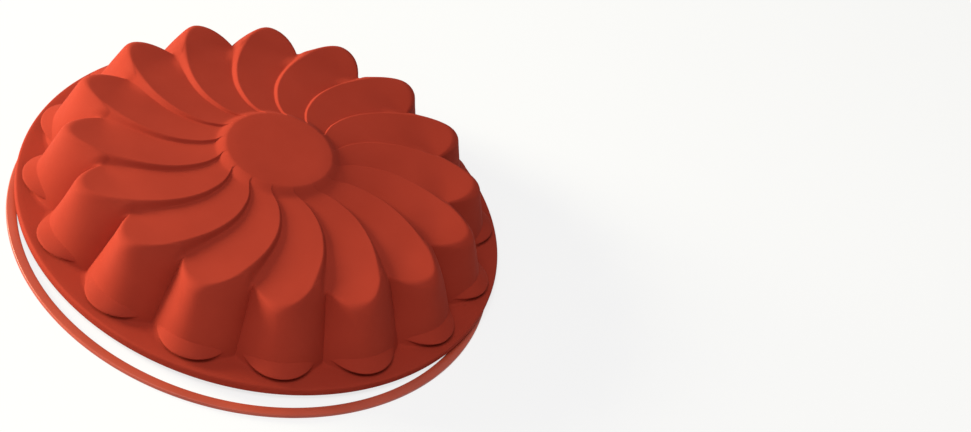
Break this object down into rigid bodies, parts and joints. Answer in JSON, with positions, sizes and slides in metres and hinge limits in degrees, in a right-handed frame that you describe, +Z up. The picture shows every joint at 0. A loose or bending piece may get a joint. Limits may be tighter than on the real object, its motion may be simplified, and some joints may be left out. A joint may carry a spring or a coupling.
{
  "type": "silicone cake mould with support ring",
  "caption": "Brick-red silicone cake mould shaped as a swirled flower, lying upside down on the loose flat ring that stiffens its rim.",
  "frame": {"origin": "middle of the footprint of the mould and the ring together, on the floor", "axes": "+Z up; the mould lies upside down, so its base disc faces +Z and its mouth -Z; the ring sticks out most towards -Y"},
  "size_m": [0.254, 0.2668, 0.0465],
  "materials": {
    "silicone": "matte outside, glossy inside",
    "ring_plastic": "satin"
  },
  "bodies": {
    "ring": {"support_ring": "ring_plastic"},
    "mould": {"silicone_mould": "silicone"}
  },
  "joints": [
    {"name": "mould_turn_over", "type": "hinge", "parent": "ring", "child": "mould", "pos_m": [0.10903, 0.08083, 0.02325], "axis": [-0.5637, 0.826, 0], "range_deg": [0, 180]}
  ]
}
